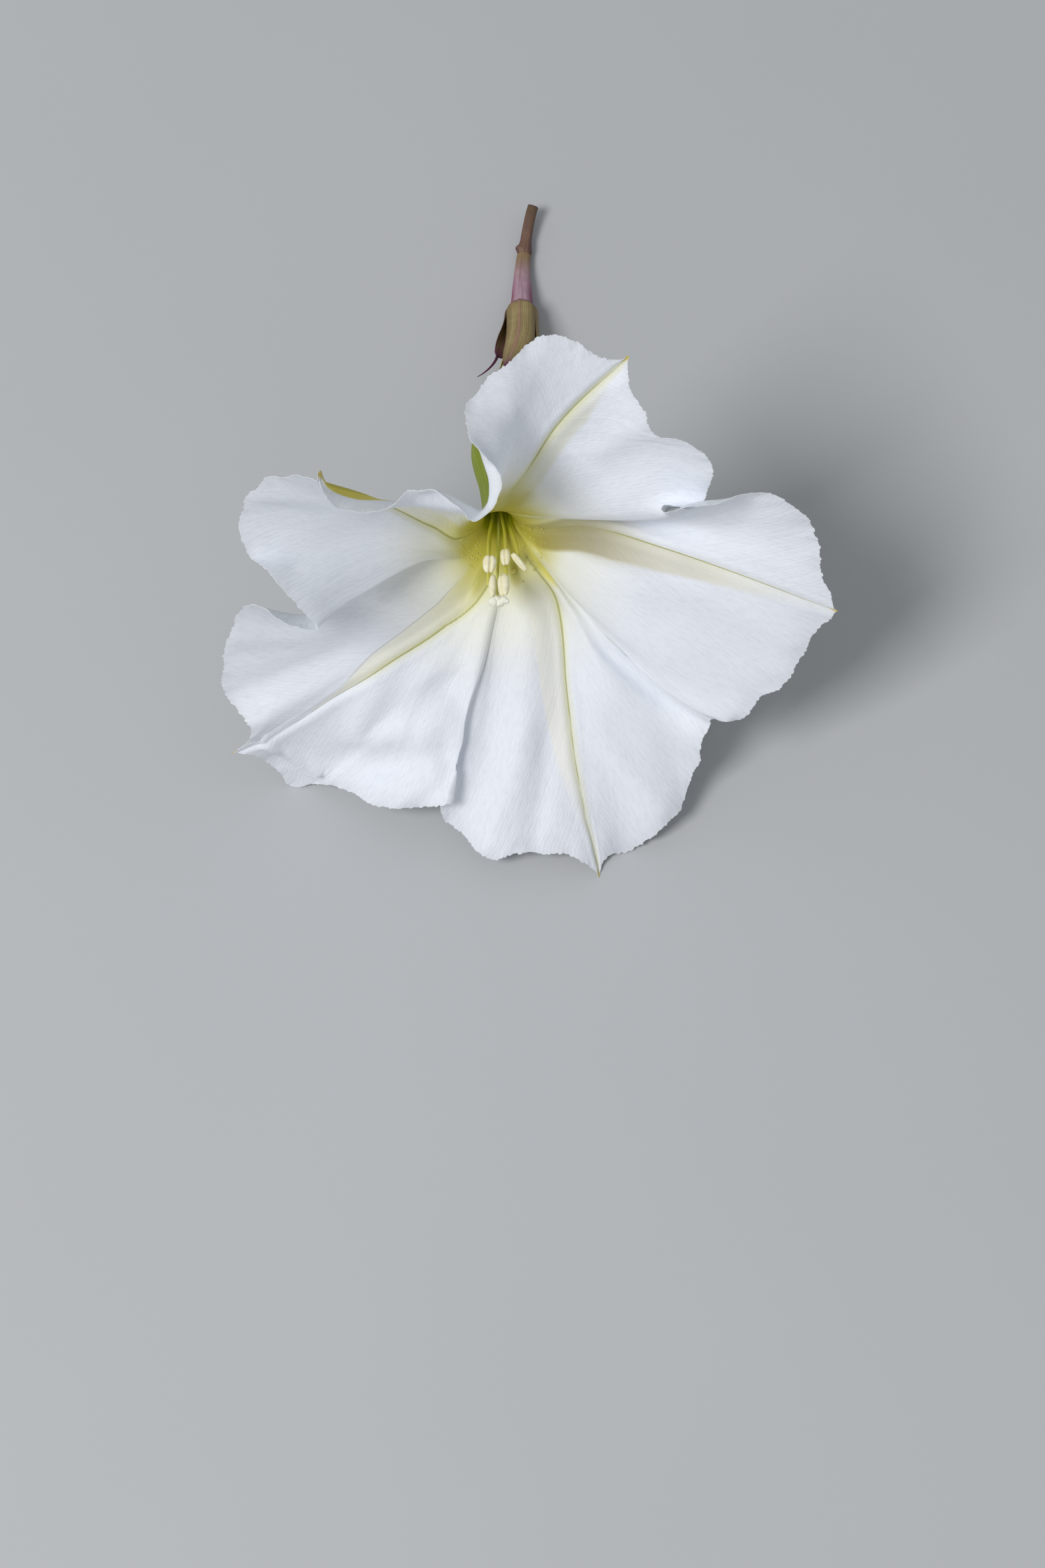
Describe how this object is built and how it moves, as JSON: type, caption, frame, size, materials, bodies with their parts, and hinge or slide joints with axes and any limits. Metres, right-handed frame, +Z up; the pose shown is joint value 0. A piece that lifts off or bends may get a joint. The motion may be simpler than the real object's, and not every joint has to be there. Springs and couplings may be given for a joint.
{
  "type": "moonflower blossom",
  "caption": "Picked moonflower: a wide fluted white trumpet with star-like midribs on a slender green tube, with stamens, pistil, awned calyx and a short cut stalk, lying on its side.",
  "frame": {"origin": "centre of the footprint, on the surface that the flower lies on", "axes": "+Z up from that surface; the trumpet's mouth faces -Y and tips up; the tube and stalk run back towards +Y"},
  "size_m": [0.122, 0.1576, 0.1018],
  "materials": {
    "petal": "soft matte white petal with a faint satin; yellow-green towards the throat and green on the tube",
    "filament": "smooth, pale yellow-green, waxy",
    "anther": "dry cream pollen",
    "style": "smooth, pale green-white",
    "stigma": "fine papillae, white",
    "ovary": "smooth, green",
    "nectary": "moist, yellow-green",
    "sepal": "leathery olive brown with a purple midnerve and awn",
    "pedicel": "waxy mauve over green",
    "peduncle": "brownish green, finely ridged"
  },
  "bodies": {
    "root": {"anther_1": "anther", "anther_2": "anther", "anther_3": "anther", "anther_4": "anther", "anther_5": "anther", "corolla": "petal", "filament_1": "filament", "filament_2": "filament", "filament_3": "filament", "filament_4": "filament", "filament_5": "filament", "inner_sepal_1": "sepal", "inner_sepal_2": "sepal", "nectary_disc": "nectary", "outer_sepal_1": "sepal", "outer_sepal_2": "sepal", "outer_sepal_3": "sepal", "ovary": "ovary", "pedicel": "pedicel", "peduncle": "peduncle", "stigma": "stigma", "style": "style"}
  },
  "joints": []
}
